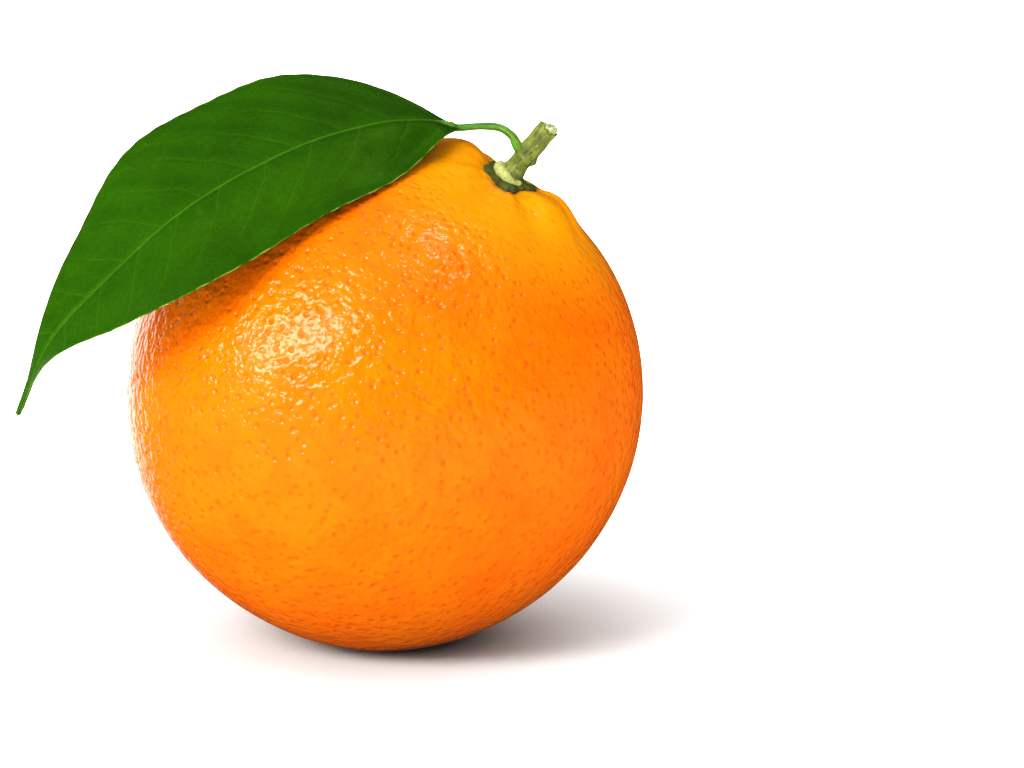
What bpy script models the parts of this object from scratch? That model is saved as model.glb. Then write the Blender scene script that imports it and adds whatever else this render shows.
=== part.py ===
"""A sweet orange with its calyx, a cut end of twig, and one leaf on its petiole.

The origin is the centre of the small flat spot that the fruit rests on, and +Z is up. The fruit leans
towards +X, so its stem end is up and to the right, and the leaf lies over the fruit towards -X.
Everything is in metres, apart from the routes and outlines given in millimetres.
"""

from math import asin, atan2, cos, exp, pi, radians, sin, sqrt, tan

import bmesh
import bpy
from mathutils import Matrix, Vector

MM = 0.001
GAP = 0.3 * MM

# The fruit: a nearly round berry with a raised shoulder on two sides of its flattened stem end, furrows
# that run down from there, and a broad heel round its blossom end.
FRUIT_RADIUS = 38.0 * MM
FRUIT_CENTRE = Vector((0.0, 0.0, 37.3 * MM))
FRUIT_LEAN = radians(30.0)
FRUIT_HEADING = radians(-13.5)
FRUIT_SEGMENTS = 48
FRUIT_RINGS = 34
RING_CROWDING = 1.4
STEM_END_FLATTENING = 1.0 * MM
STEM_END_SPREAD = radians(22.0)
CAVITY_DEPTH = 0.8 * MM
CAVITY_SPREAD = radians(6.0)
SHOULDER_RISE = 2.3 * MM
SHOULDER_SHARPNESS = 1.3
SHOULDER_ANGLE = radians(11.5)
SHOULDER_SPREAD = radians(7.5)
FURROW_COUNT = 7
FURROW_UNEVENNESS = 0.7
FURROW_DEPTH = 0.5 * MM
FURROW_ANGLE = radians(14.0)
FURROW_SPREAD = radians(9.0)
HEEL_RISE = 0.45 * MM
HEEL_ANGLE = radians(148.0)
HEEL_SPREAD = radians(20.0)
NAVEL_DEPTH = 0.5 * MM
NAVEL_SPREAD = radians(3.5)
LUMP_HEIGHT = 0.2 * MM
LUMP_TURN = 0.6

# The calyx: the five-lobed button that the fruit grew from, lying in the stem cavity.
CALYX_SEGMENTS = 40
CALYX_RINGS = 14
CALYX_EQUATOR = -0.01
CALYX_LOBES = 5
CALYX_RADIUS = 3.3 * MM
CALYX_LOBE_REACH = 0.75 * MM
CALYX_LOBE_THICKNESS = 0.6 * MM
CALYX_RIM_SHARE = 0.3
CALYX_COLLAR_HEIGHT = 1.9 * MM
CALYX_COLLAR_RADIUS = 2.5 * MM
CALYX_COLLAR_SLOPE = 1.2

# The twig, cut off above the fruit, with a swelling at the node where the petiole leaves it. A station is
# a share of the length and a share of the radius.
STEM_LEAN = radians(38.5)
STEM_HEADING = radians(-4.0)
STEM_LENGTH = 7.9 * MM
STEM_RADIUS = 1.55 * MM
STEM_STATIONS = ((0.0, 1.05), (0.12, 0.95), (0.28, 0.95), (0.42, 1.15), (0.6, 1.1), (0.8, 1.08), (1.0, 1.1))

# The petiole: a thin arched stalk from the twig to the blade, its route in millimetres.
PETIOLE_RADIUS = 0.48 * MM
PETIOLE_ROUTE = ((19.15, -4.65, 74.6), (18.7, -4.5, 75.1), (16.9, -3.9, 76.8), (14.3, -3.7, 77.2))
PETIOLE_FLARE = (1.25, 1.0, 0.95, 0.95, 1.2)

# The blade: arched along its midrib, slightly folded into a valley, and pointed at its tip. The arch and
# the half width are given along the chord from base to tip, in millimetres.
LEAF_BASE = Vector((10.8, -3.8, 77.2)) * MM
LEAF_HEADING = radians(192.0)
LEAF_DROOP = radians(31.5)
LEAF_ROLL = radians(24.3)
LEAF_FOLD = radians(2.7)
LEAF_THICKNESS = 0.4 * MM
LEAF_ALONG = 30
LEAF_ACROSS = 8
LEAF_ARCH = ((0, 0), (3, 3.8), (10, 8.6), (22, 12.9), (39.5, 14.4), (56, 11.2), (67, 7.3), (76, 0))
LEAF_BASAL_HALF_WIDTH = ((0, 0.7), (3, 5.5), (10, 13.4), (20, 17.8), (33.5, 18.9))
LEAF_APICAL_HALF_WIDTH = ((45.5, 17.4), (56, 11.2), (65, 4.8), (71, 1.4), (76, 0.3))
LEAF_HALF_WIDTH = LEAF_BASAL_HALF_WIDTH + LEAF_APICAL_HALF_WIDTH

# Colour, roughness and metallic value of each piece.
FINISHES = {
    "fruit": ((1.0, 0.33, 0.01, 1.0), 0.38, 0.0),
    "calyx": ((0.24, 0.29, 0.06, 1.0), 0.7, 0.0),
    "stem": ((0.22, 0.26, 0.06, 1.0), 0.75, 0.0),
    "petiole": ((0.1, 0.26, 0.03, 1.0), 0.5, 0.0),
    "leaf": ((0.03, 0.13, 0.005, 1.0), 0.35, 0.0),
}


def clear_scene():
    """Empties the scene, so that the script can be run again in an open file."""
    for obj in list(bpy.data.objects):
        bpy.data.objects.remove(obj, do_unlink=True)


def new_collection(name):
    collection = bpy.data.collections.new(name)
    bpy.context.scene.collection.children.link(collection)
    return collection


def new_material(name):
    colour, roughness, metallic = FINISHES[name]
    material = bpy.data.materials.new(name + "_finish")
    material.use_nodes = True
    shader = material.node_tree.nodes["Principled BSDF"]
    shader.inputs["Base Color"].default_value = colour
    shader.inputs["Roughness"].default_value = roughness
    shader.inputs["Metallic"].default_value = metallic
    material.diffuse_color = colour
    return material


def new_object(name, data, collection):
    """A visible piece with its own material."""
    obj = bpy.data.objects.new(name, data)
    data.materials.append(new_material(name))
    collection.objects.link(obj)
    return obj


def mesh_from(bm, name):
    """A smooth-shaded mesh of this bmesh, whose faces still point out as its primitive's did."""
    mesh = bpy.data.meshes.new(name)
    bm.to_mesh(mesh)
    bm.free()
    mesh.shade_smooth()
    return mesh


def direction(lean, heading):
    """The unit vector at an angle from straight up, leaning towards a heading round +Z."""
    return Vector((sin(lean) * cos(heading), sin(lean) * sin(heading), cos(lean)))


def bell(angle, middle, spread):
    """1 at the middle angle, falling smoothly to 0 over the spread."""
    return exp(-(((angle - middle) / spread) ** 2))


def through(stations, at):
    """A smooth curve through the (place, value) stations, read at one place."""
    last = len(stations) - 2
    index = max(0, min(last, sum(1 for place, _ in stations[1:-1] if at >= place)))

    def slope(i):
        before, after = stations[max(i - 1, 0)], stations[min(i + 1, last + 1)]
        return (after[1] - before[1]) / (after[0] - before[0])

    (x0, y0), (x1, y1) = stations[index], stations[index + 1]
    width = x1 - x0
    t = (at - x0) / width
    rise = (3 - 2 * t) * t * t
    lead = ((t - 2) * t + 1) * t * width * slope(index)
    tail = (t - 1) * t * t * width * slope(index + 1)
    return y0 + (y1 - y0) * rise + lead + tail


def rind_radius(polar, around):
    """The fruit's radius at an angle from its stem end, and an angle round its own axis."""
    radius = FRUIT_RADIUS - STEM_END_FLATTENING * bell(polar, 0.0, STEM_END_SPREAD)
    radius -= CAVITY_DEPTH * bell(polar, 0.0, CAVITY_SPREAD)
    two_sided = (0.5 + 0.5 * cos(2 * around)) ** SHOULDER_SHARPNESS
    radius += SHOULDER_RISE * two_sided * bell(polar, SHOULDER_ANGLE, SHOULDER_SPREAD)
    crease = (0.5 + 0.5 * cos(FURROW_COUNT * around + FURROW_UNEVENNESS * sin(around))) ** 2
    radius -= FURROW_DEPTH * crease * bell(polar, FURROW_ANGLE, FURROW_SPREAD)
    radius += HEEL_RISE * bell(polar, HEEL_ANGLE, HEEL_SPREAD)
    radius -= NAVEL_DEPTH * bell(polar, pi, NAVEL_SPREAD)
    return radius + LUMP_HEIGHT * sin(polar) ** 2 * cos(2 * around + LUMP_TURN)


def place_on_fruit():
    """The matrix that takes a shape built about the fruit's own axis to its place."""
    turn = Matrix.Rotation(FRUIT_HEADING, 4, "Z") @ Matrix.Rotation(FRUIT_LEAN, 4, "Y")
    return Matrix.Translation(FRUIT_CENTRE) @ turn


def make_fruit(parts, cutters):
    """A sphere drawn out by the radius rule, its rings crowded towards the stem end, with a flat spot."""
    bm = bmesh.new()
    bmesh.ops.create_uvsphere(bm, u_segments=FRUIT_SEGMENTS, v_segments=FRUIT_RINGS, radius=1.0)
    for vert in bm.verts:
        polar = pi * (atan2(sqrt(vert.co.x**2 + vert.co.y**2), vert.co.z) / pi) ** RING_CROWDING
        around = atan2(vert.co.y, vert.co.x)
        radius = rind_radius(polar, around)
        vert.co = radius * direction(polar, around)
    bm.transform(place_on_fruit())
    fruit = new_object("fruit", mesh_from(bm, "fruit"), parts)

    bm = bmesh.new()
    bmesh.ops.create_cube(bm, size=2 * FRUIT_RADIUS)
    bm.transform(Matrix.Translation((0.0, 0.0, -FRUIT_RADIUS)))
    table = bpy.data.objects.new("rest_plane_cutter", mesh_from(bm, "rest_plane_cutter"))
    cutters.objects.link(table)
    table.hide_render = True
    table.display_type = "WIRE"
    flat = fruit.modifiers.new("flat_spot", "BOOLEAN")
    flat.operation = "DIFFERENCE"
    flat.solver = "EXACT"
    flat.object = table
    return fruit


def cavity_height(reach, around):
    """How high the rind stands along the fruit's axis, at a distance from that axis, near the stem end."""
    polar = asin(reach / FRUIT_RADIUS)
    return rind_radius(polar, around) * cos(polar)


def collar_height():
    """The top of the calyx's collar, along the fruit's axis."""
    return cavity_height(0.0, 0.0) + CALYX_COLLAR_HEIGHT


def make_calyx(parts):
    """A five-lobed button whose underside follows the cavity, with a collar for the twig."""
    bm = bmesh.new()
    bmesh.ops.create_uvsphere(bm, u_segments=CALYX_SEGMENTS, v_segments=CALYX_RINGS, radius=1.0)
    for vert in bm.verts:
        fraction = sqrt(vert.co.x**2 + vert.co.y**2)
        around = atan2(vert.co.y, vert.co.x)
        lobe = 0.5 + 0.5 * cos(CALYX_LOBES * around)
        reach = fraction * (CALYX_RADIUS + CALYX_LOBE_REACH * lobe)
        height = cavity_height(reach, around) + GAP
        if vert.co.z > CALYX_EQUATOR:
            dome = sqrt(max(0.0, 1 - fraction**2))
            height += CALYX_LOBE_THICKNESS * (CALYX_RIM_SHARE + (1 - CALYX_RIM_SHARE) * dome)
            outside_collar = max(0.0, reach - CALYX_COLLAR_RADIUS)
            height = max(height, collar_height() - CALYX_COLLAR_SLOPE * outside_collar)
        vert.co = Vector((reach * cos(around), reach * sin(around), height))
    bm.transform(place_on_fruit())
    return new_object("calyx", mesh_from(bm, "calyx"), parts)


def tube(name, points, radii, parts):
    """A smooth round stalk along these points, with a radius factor at each and closed ends."""
    curve = bpy.data.curves.new(name, "CURVE")
    curve.dimensions = "3D"
    curve.bevel_depth = 1.0 * MM
    curve.bevel_resolution = 2
    curve.resolution_u = 5
    curve.use_fill_caps = True
    spline = curve.splines.new("BEZIER")
    spline.bezier_points.add(len(points) - 1)
    for bezier, point, radius in zip(spline.bezier_points, points, radii):
        bezier.co = point
        bezier.radius = radius / MM
        bezier.handle_left_type = "AUTO"
        bezier.handle_right_type = "AUTO"
    return new_object(name, curve, parts)


def make_stem(parts):
    """The cut end of twig, from just above the calyx's collar."""
    heading = direction(STEM_LEAN, STEM_HEADING)
    collar = place_on_fruit() @ Vector((0.0, 0.0, collar_height()))
    slant = STEM_RADIUS * STEM_STATIONS[0][1] * tan(STEM_LEAN - FRUIT_LEAN)
    foot = collar + (GAP + slant) * heading
    points = [foot + share * STEM_LENGTH * heading for share, _ in STEM_STATIONS]
    radii = [STEM_RADIUS * swell for _, swell in STEM_STATIONS]
    return tube("stem", points, radii, parts)


def make_petiole(parts):
    """The stalk of the leaf, ending just short of the blade."""
    route = [Vector(point) * MM for point in PETIOLE_ROUTE]
    arrival = (route[-1] - LEAF_BASE).normalized()
    route.append(LEAF_BASE + (GAP + 0.1 * MM) * arrival)
    return tube("petiole", route, [PETIOLE_RADIUS * flare for flare in PETIOLE_FLARE], parts)


def leaf_axes():
    """The blade's direction from base to tip, its direction across, and its upper side's direction."""
    along = direction(radians(90.0) + LEAF_DROOP, LEAF_HEADING)
    side = Vector((0.0, 0.0, 1.0)).cross(along).normalized()
    up = along.cross(side)
    return along, cos(LEAF_ROLL) * side - sin(LEAF_ROLL) * up, cos(LEAF_ROLL) * up + sin(LEAF_ROLL) * side


def make_leaf(parts):
    """A grid bent to the arch of the midrib and drawn in to the outline, then given its thickness."""
    along, across, up = leaf_axes()
    length = LEAF_HALF_WIDTH[-1][0]
    bm = bmesh.new()
    bmesh.ops.create_grid(bm, x_segments=LEAF_ALONG, y_segments=LEAF_ACROSS, size=1.0)
    for vert in bm.verts:
        place = 0.5 * (vert.co.x + 1.0) * length
        reach = vert.co.y * through(LEAF_HALF_WIDTH, place)
        height = through(LEAF_ARCH, place) + abs(reach) * sin(LEAF_FOLD)
        vert.co = LEAF_BASE + MM * (place * along + reach * cos(LEAF_FOLD) * across + height * up)
    leaf = new_object("leaf", mesh_from(bm, "leaf"), parts)
    wall = leaf.modifiers.new("blade_thickness", "SOLIDIFY")
    wall.thickness = LEAF_THICKNESS
    wall.offset = 0.0
    return leaf


def main():
    clear_scene()
    parts = new_collection("orange")
    cutters = new_collection("cutters")
    make_fruit(parts, cutters)
    make_calyx(parts)
    make_stem(parts)
    make_petiole(parts)
    make_leaf(parts)


main()
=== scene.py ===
"""A sweet orange with one leaf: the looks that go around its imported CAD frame.

Lengths in the classes below are in millimetres, and become metres where a mesh is written.
"""

import logging
import math
from dataclasses import dataclass
from enum import Enum
from typing import Any, Sequence

import bpy
import numpy as np
from bpy.types import Material, Node, NodeSocket, NodeTree, Object
from mathutils import Matrix, Vector

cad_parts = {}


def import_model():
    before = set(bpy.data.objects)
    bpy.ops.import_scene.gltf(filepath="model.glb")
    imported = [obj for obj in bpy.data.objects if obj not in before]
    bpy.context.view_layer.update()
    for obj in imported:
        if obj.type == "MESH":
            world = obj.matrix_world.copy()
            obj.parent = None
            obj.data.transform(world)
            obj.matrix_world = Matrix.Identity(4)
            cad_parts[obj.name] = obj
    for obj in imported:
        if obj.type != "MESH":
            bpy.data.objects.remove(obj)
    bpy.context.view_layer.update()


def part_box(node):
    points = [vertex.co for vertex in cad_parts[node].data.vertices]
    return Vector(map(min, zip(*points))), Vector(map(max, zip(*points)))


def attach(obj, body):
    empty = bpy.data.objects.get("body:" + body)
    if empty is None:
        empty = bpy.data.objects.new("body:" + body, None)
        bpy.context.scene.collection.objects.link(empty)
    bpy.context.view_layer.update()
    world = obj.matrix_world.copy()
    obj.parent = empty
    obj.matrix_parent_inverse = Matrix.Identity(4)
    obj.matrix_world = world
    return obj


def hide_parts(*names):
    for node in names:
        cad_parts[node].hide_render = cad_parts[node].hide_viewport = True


MM = 0.001
TO_MM = 1000.0
BODY = "root"
GROWN = "grown"
BLADE = "blade"
BLADE_UP = "up"
BARK = "bark"
BUTTON = "button"
ZERO = (0.0, 0.0, 0.0)

Colour = tuple[float, float, float, float]
Point = tuple[float, float, float]
Stations = tuple[tuple[float, float], ...]
Array = np.ndarray

log = logging.getLogger("orange")


class Side(Enum):
    """The two sides of a leaf blade."""

    UPPER = 1.0
    LOWER = -1.0


# Node graphs


def arithmetic(operation: str) -> tuple[Any, Any]:
    """The methods for one operator on fields.

    Args:
        operation: The Math node's operation.

    Returns:
        The plain method and the reflected one.
    """

    def plain(self: "Field", other: Any) -> "Field":
        """The operation on the field and another value."""
        return self.graph.math(operation, self, other)

    def reflected(self: "Field", other: Any) -> "Field":
        """The operation on another value and the field."""
        return self.graph.math(operation, other, self)

    return plain, reflected


class Field:
    """A value on a node graph. Arithmetic on it adds Math nodes to the graph."""

    __add__, __radd__ = arithmetic("ADD")
    __sub__, __rsub__ = arithmetic("SUBTRACT")
    __mul__, __rmul__ = arithmetic("MULTIPLY")
    __truediv__, __rtruediv__ = arithmetic("DIVIDE")

    def __init__(self, graph: "Graph", socket: NodeSocket) -> None:
        """Wraps an output socket of the graph."""
        self.graph = graph
        self.socket = socket

    def __pow__(self, other: Any) -> "Field":
        """The value to a power. A square is a product, so that it takes negative values."""
        return self * self if other == 2 else self.graph.math("POWER", self, other)

    def __neg__(self) -> "Field":
        """The value with its sign turned."""
        return self.graph.math("MULTIPLY", self, -1.0)

    def __abs__(self) -> "Field":
        """The value without its sign."""
        return self.graph.math("ABSOLUTE", self)


class Graph:
    """Builds a shader, geometry or group tree from short, readable calls."""

    def __init__(self, tree: NodeTree) -> None:
        """Starts on a tree."""
        self.tree = tree

    def feed(self, node: Node, inputs: dict[Any, Any]) -> None:
        """Links values to a node's input sockets, or sets them there.

        Args:
            node: The node.
            inputs: What each socket takes, by its name or place: a Field, an output socket or a plain value.
        """
        for key, value in inputs.items():
            if isinstance(value, Field):
                value = value.socket
            if isinstance(value, NodeSocket):
                self.tree.links.new(value, node.inputs[key])
            else:
                node.inputs[key].default_value = value

    def add(self, kind: str, inputs: dict[Any, Any] | None = None, **settings: Any) -> Node:
        """Adds one node.

        Args:
            kind: The node's type name.
            inputs: What its input sockets take, by name or by place.
            settings: The node's own properties.

        Returns:
            The new node.
        """
        node = self.tree.nodes.new(kind)
        for name, value in settings.items():
            setattr(node, name, value)
        self.feed(node, inputs or {})
        return node

    def out(self, node: Node, key: Any = 0) -> Field:
        """One output of a node, as a Field."""
        return Field(self, node.outputs[key])

    def math(self, operation: str, *terms: Any) -> Field:
        """One Math node on up to three terms."""
        return self.out(self.add("ShaderNodeMath", dict(enumerate(terms)), operation=operation))

    def vector_math(self, operation: str, *terms: Any, key: Any = 0) -> Field:
        """One Vector Math node on up to three terms."""
        return self.out(self.add("ShaderNodeVectorMath", dict(enumerate(terms)), operation=operation), key)

    def cos(self, angle: Any) -> Field:
        """The cosine of an angle in radians."""
        return self.math("COSINE", angle)

    def sin(self, angle: Any) -> Field:
        """The sine of an angle in radians."""
        return self.math("SINE", angle)

    def exp(self, power: Any) -> Field:
        """e to a power."""
        return self.math("EXPONENT", power)

    def split(self, vector: Any) -> tuple[Field, Field, Field]:
        """The three parts of a vector."""
        node = self.add("ShaderNodeSeparateXYZ", {0: vector})
        return self.out(node, 0), self.out(node, 1), self.out(node, 2)

    def join(self, x: Any, y: Any, z: Any) -> Field:
        """A vector from its three parts."""
        return self.out(self.add("ShaderNodeCombineXYZ", {0: x, 1: y, 2: z}))

    def scaled(self, vector: Any, factor: Any) -> Field:
        """A vector times a number."""
        return self.out(self.add("ShaderNodeVectorMath", {0: vector, "Scale": factor}, operation="SCALE"))

    def ease(self, value: Any, start: Any, end: Any, low: Any = 0.0, high: Any = 1.0) -> Field:
        """A smooth step of a value, from low at the start to high at the end, and held outside them."""
        places = {"Value": value, "From Min": start, "From Max": end, "To Min": low, "To Max": high}
        return self.out(self.add("ShaderNodeMapRange", places, interpolation_type="SMOOTHSTEP"))

    def fade(self, value: Any, start: Any, end: Any) -> Field:
        """A smooth step of a value, from 1 at the start to 0 at the end."""
        return self.ease(value, start, end, 1.0, 0.0)

    def noise(self, vector: Any, scale: float, detail: float = 2.0, roughness: float = 0.5) -> Field:
        """A noise from 0 to 1, with a number of features to one unit and with finer layers on them."""
        values = {"Vector": vector, "Scale": scale, "Detail": detail, "Roughness": roughness}
        return self.out(self.add("ShaderNodeTexNoise", values, noise_dimensions="3D"))

    def cells(self, vector: Any, spacing: Any, feature: str, randomness: float) -> Field:
        """A Voronoi distance whose cells are about one spacing across, in the vector's units."""
        values = {"Vector": vector, "Scale": 1.0 / spacing, "Randomness": randomness}
        return self.out(self.add("ShaderNodeTexVoronoi", values, feature=feature), "Distance") * spacing

    def pits(self, vector: Any, spacing: Any, reach: Any, randomness: float = 0.9) -> Field:
        """Round pits scattered through space: 1 at the middle of a pit, easing to 0 at its rim."""
        return self.fade(self.cells(vector, spacing, "F1", randomness), 0.0, reach)

    def blend(self, share: Any, first: Any, second: Any, mode: str = "MIX") -> Field:
        """Two colours mixed, with a share from 0 to 1 of the second one."""
        inputs = {0: share, 6: first, 7: second}
        return self.out(self.add("ShaderNodeMix", inputs, data_type="RGBA", blend_type=mode), 2)

    def layered(self, tint: Any, *layers: tuple[Any, Any]) -> Any:
        """Lays colours over a colour.

        Args:
            tint: The colour underneath.
            layers: Each layer's share, from 0 to 1, and its colour.

        Returns:
            The mixed colour.
        """
        for share, over in layers:
            tint = self.blend(share, tint, over)
        return tint

    def shaded(self, tint: Any, shade: Field) -> Field:
        """A colour times a number."""
        return self.blend(1.0, tint, self.join(shade, shade, shade), "MULTIPLY")

    def attribute(self, name: str) -> Field:
        """A vector that the mesh stores at its points, as a shader reads it."""
        return self.out(self.add("ShaderNodeAttribute", attribute_name=name), "Vector")

    def spot(self) -> Field:
        """The shaded point on the piece's own axes, in metres."""
        return self.out(self.add("ShaderNodeTexCoord"), "Object")

    def group(self, tree: NodeTree, **inputs: Any) -> Node:
        """Places a node group, with this material's own values for its inputs."""
        return self.add("ShaderNodeGroup", inputs, node_tree=tree)


def colour(red: float, green: float, blue: float) -> Colour:
    """A linear colour with full alpha."""
    return red, green, blue, 1.0


class InputGraph(Graph):
    """The graph of a node group that has named inputs."""

    def __init__(self, name: str, kind: str, inputs: dict[str, Any], geometry: tuple[str, ...] = ()) -> None:
        """Starts a group.

        Args:
            name: The group's name.
            kind: The tree's type name.
            inputs: Each input's default: a whole number, a number, a vector or a colour.
            geometry: Whether geometry goes in, comes out, or both.
        """
        super().__init__(bpy.data.node_groups.new(name, kind))
        sockets = self.tree.interface
        for way in geometry:
            sockets.new_socket(name="Geometry", in_out=way, socket_type="NodeSocketGeometry")
        for label, value in inputs.items():
            held = {int: "Int", float: "Float"}.get(type(value)) or ("Color" if len(value) == 4 else "Vector")
            socket = sockets.new_socket(name=label, in_out="INPUT", socket_type="NodeSocket" + held)
            socket.default_value = value
        self.given = self.add("NodeGroupInput")

    def input(self, label: str) -> Field:
        """One named input, as a Field."""
        return self.out(self.given, label)


# Shared shader groups


class EffectGroup(InputGraph):
    """A shader node group with named inputs and outputs."""

    def __init__(self, name: str, inputs: dict[str, Any]) -> None:
        """Starts a group, with a default value for each input."""
        super().__init__(name, "ShaderNodeTree", inputs)

    def close(self, **outputs: tuple[str, Field]) -> NodeTree:
        """Ends the group.

        Args:
            outputs: Each output's kind of socket and its value.

        Returns:
            The finished tree.
        """
        for label, (kind, _) in outputs.items():
            self.tree.interface.new_socket(name=label, in_out="OUTPUT", socket_type="NodeSocket" + kind)
        self.add("NodeGroupOutput", {label: value for label, (_, value) in outputs.items()})
        return self.tree


class SharedEffects:
    """The effects that more than one finish uses, each built once as a node group."""

    def __init__(self) -> None:
        """Builds every group."""
        self.mottle = self._build_mottle()
        self.pores = self._build_pores()
        self.fibres = self._build_fibres()

    def mottled(
        self, graph: Graph, place: Field, size: float, amount: float, base: Colour, tint: Colour
    ) -> Any:
        """Places the mottle group, whose outputs are Colour and Value."""
        return graph.group(self.mottle, Place=place, Size=size, Amount=amount, Colour=base, Tint=tint)

    def marks(self, graph: Graph, place: Field, spacing: float, size: float) -> Field:
        """Places the pores group, for marks of one spacing and size, and gives its mask."""
        return graph.out(graph.group(self.pores, Place=place, Spacing=spacing, Size=size), "Mask")

    @staticmethod
    def _build_mottle() -> NodeTree:
        """Uneven colour, as living tissue has it: a group that tints a colour in soft patches.

        Returns:
            The group.
        """
        group = EffectGroup("mottle", {
            "Place": ZERO, "Size": 10.0, "Amount": 0.5,
            "Colour": colour(0.5, 0.5, 0.5), "Tint": colour(0.4, 0.4, 0.4),
        })
        place = group.scaled(group.input("Place"), 1.0 / group.input("Size"))
        uneven = 0.72 * group.noise(place, 1.0, 3.0, 0.55) + 0.28 * group.noise(place, 6.5, 2.0, 0.6)
        value = group.ease(uneven, 0.36, 0.64)
        tint = group.blend(value * group.input("Amount"), group.input("Colour"), group.input("Tint"))
        return group.close(Colour=("Color", tint), Value=("Float", value))

    @staticmethod
    def _build_pores() -> NodeTree:
        """Small round marks: oil glands in rind and blade, and lenticels in bark.

        Returns:
            A group that gives a mask of 1 in the marks.
        """
        group = EffectGroup("pores", {"Place": ZERO, "Spacing": 1.0, "Size": 0.3})
        mask = group.pits(group.input("Place"), group.input("Spacing"), group.input("Size"), 0.95)
        return group.close(Mask=("Float", mask))

    @staticmethod
    def _build_fibres() -> NodeTree:
        """Fine lines that run along a stalk or a twig.

        Returns:
            A group that gives the lines' height from 0 to 1.
        """
        group = EffectGroup("fibres", {"Place": ZERO, "Width": 0.3, "Length": 4.0})
        along, turn_x, turn_y = group.split(group.input("Place"))
        width = group.input("Width")
        stretched = group.join(along / group.input("Length"), turn_x / width, turn_y / width)
        return group.close(Height=("Float", group.noise(stretched, 1.0, 3.0, 0.6)))


# Finishes


def new_material(name: str) -> tuple[Material, Graph, Node]:
    """An empty node material.

    Args:
        name: The material's name.

    Returns:
        The material, its graph and its Principled shader.
    """
    material = bpy.data.materials.new(name)
    material.use_nodes = True
    return material, Graph(material.node_tree), material.node_tree.nodes["Principled BSDF"]


def bump(graph: Graph, height: Field, depth: float, **under: Field) -> Field:
    """A normal bent by a height from 0 to 1 that stands for a depth in millimetres, on any Normal under it."""
    inputs = {"Height": height, "Strength": 1.0, "Distance": depth * MM, **under}
    return graph.out(graph.add("ShaderNodeBump", inputs))


@dataclass(frozen=True)
class RindFinish:
    """Waxy orange rind: dimples over the oil glands, darker pores, a sharp, broken gloss and painted light
    round the stem.
    """

    base: Colour = colour(0.78, 0.173, 0.0005)
    warm: Colour = colour(0.77, 0.134, 0.0004)
    pit: Colour = colour(0.7, 0.085, 0.0004)
    # Painted light: a brighter, yellower colour laid over the crown round the stem.
    painted_light_crown: Colour = colour(0.85, 0.35, 0.001)
    scar: Colour = colour(0.16, 0.085, 0.03)
    bounce: Colour = colour(0.46, 0.37, 0.31)
    gloss: Colour = colour(1.0, 0.8, 0.76)
    patch_size: float = 9.0
    roughness: float = 0.12
    dimple_depth: float = 0.18
    pore_spacing: float = 0.85
    pore_size: float = 0.32
    pore_depth: float = 0.05
    grain_depth: float = 0.22
    grain_scale: float = 0.62
    crown_inner: float = math.radians(16.0)
    crown_outer: float = math.radians(44.0)
    crown_smoothing: float = 0.65
    navel_edge: float = math.radians(178.2)
    navel_softness: float = 0.02

    def material(self, effects: SharedEffects, form: "RindForm") -> Material:
        """Builds the rind's material.

        Args:
            effects: The shared node groups.
            form: The fruit's form, whose dimples the colour follows.

        Returns:
            The material.
        """
        material, graph, shader = new_material("orange_rind")
        place = graph.attribute(GROWN)
        _, _, height = graph.split(place)
        polar = graph.math("ARCCOSINE", height / form.radius)
        # The crown round the stem: its dimples are smoothed, and it is painted brighter and yellower as painted
        # light.
        painted_light_crown = graph.fade(polar, self.crown_inner, self.crown_outer)
        smoother = 1.0 - self.crown_smoothing * painted_light_crown
        dimple = graph.pits(place, form.dimple_spacing, form.dimple_reach) * smoother
        pore = smoother * effects.marks(graph, place, self.pore_spacing, self.pore_size)
        navel = graph.ease(polar, self.navel_edge - self.navel_softness, self.navel_edge)
        bounced = graph.out(graph.add("ShaderNodeLightPath"), "Is Diffuse Ray")
        mottled = effects.mottled(graph, place, self.patch_size, 0.75, self.base, self.warm)
        tint = graph.layered(
            graph.out(mottled, "Colour"), (0.8 * painted_light_crown, self.painted_light_crown), (0.42 * dimple, self.pit),
            (0.14 * pore, self.pit), (0.85 * navel, self.scar), (0.8 * bounced, self.bounce),
        )
        film = graph.noise(place, 0.35, 3.0, 0.6)
        grain = graph.noise(place, self.grain_scale, 1.6, 0.5) * smoother
        relief = self.grain_depth * 2.0 * grain - self.dimple_depth * dimple - self.pore_depth * pore
        graph.feed(shader, {
            "Base Color": tint, "Roughness": self.roughness + 0.08 * film + 0.1 * pore + 0.06 * dimple,
            "Normal": bump(graph, relief, 1.0), "IOR": 1.46, "Specular Tint": self.gloss,
            "Subsurface Weight": 0.15, "Subsurface Radius": (1.0, 0.32, 0.08), "Subsurface Scale": 1.4 * MM,
            "Coat Weight": 0.06, "Coat Roughness": 0.1,
        })
        return material


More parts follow.
